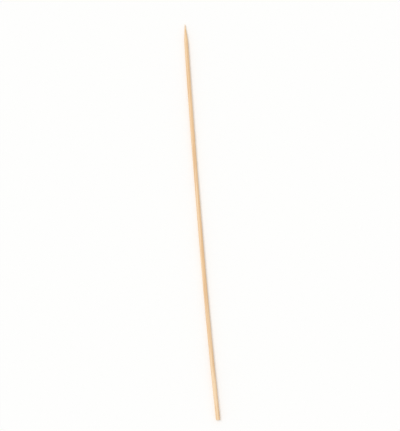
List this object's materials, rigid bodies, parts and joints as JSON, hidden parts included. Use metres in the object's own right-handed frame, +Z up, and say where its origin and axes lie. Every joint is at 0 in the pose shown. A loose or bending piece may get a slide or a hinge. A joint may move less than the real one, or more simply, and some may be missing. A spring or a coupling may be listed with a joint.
{
  "type": "bamboo skewer",
  "caption": "Round bamboo skewer: a long thin rod, sawn square at one end and ground to a point at the other.",
  "frame": {"origin": "middle of the space under the lying skewer, on the surface that it lies on", "axes": "+Y along the skewer towards its point, +Z up, the slight bow towards -X"},
  "size_m": [0.0036, 0.25, 0.0025],
  "materials": {
    "bamboo": "bare, machined bamboo, satin, with fine lengthwise fibres"
  },
  "bodies": {
    "root": {"skewer": "bamboo"}
  },
  "joints": []
}
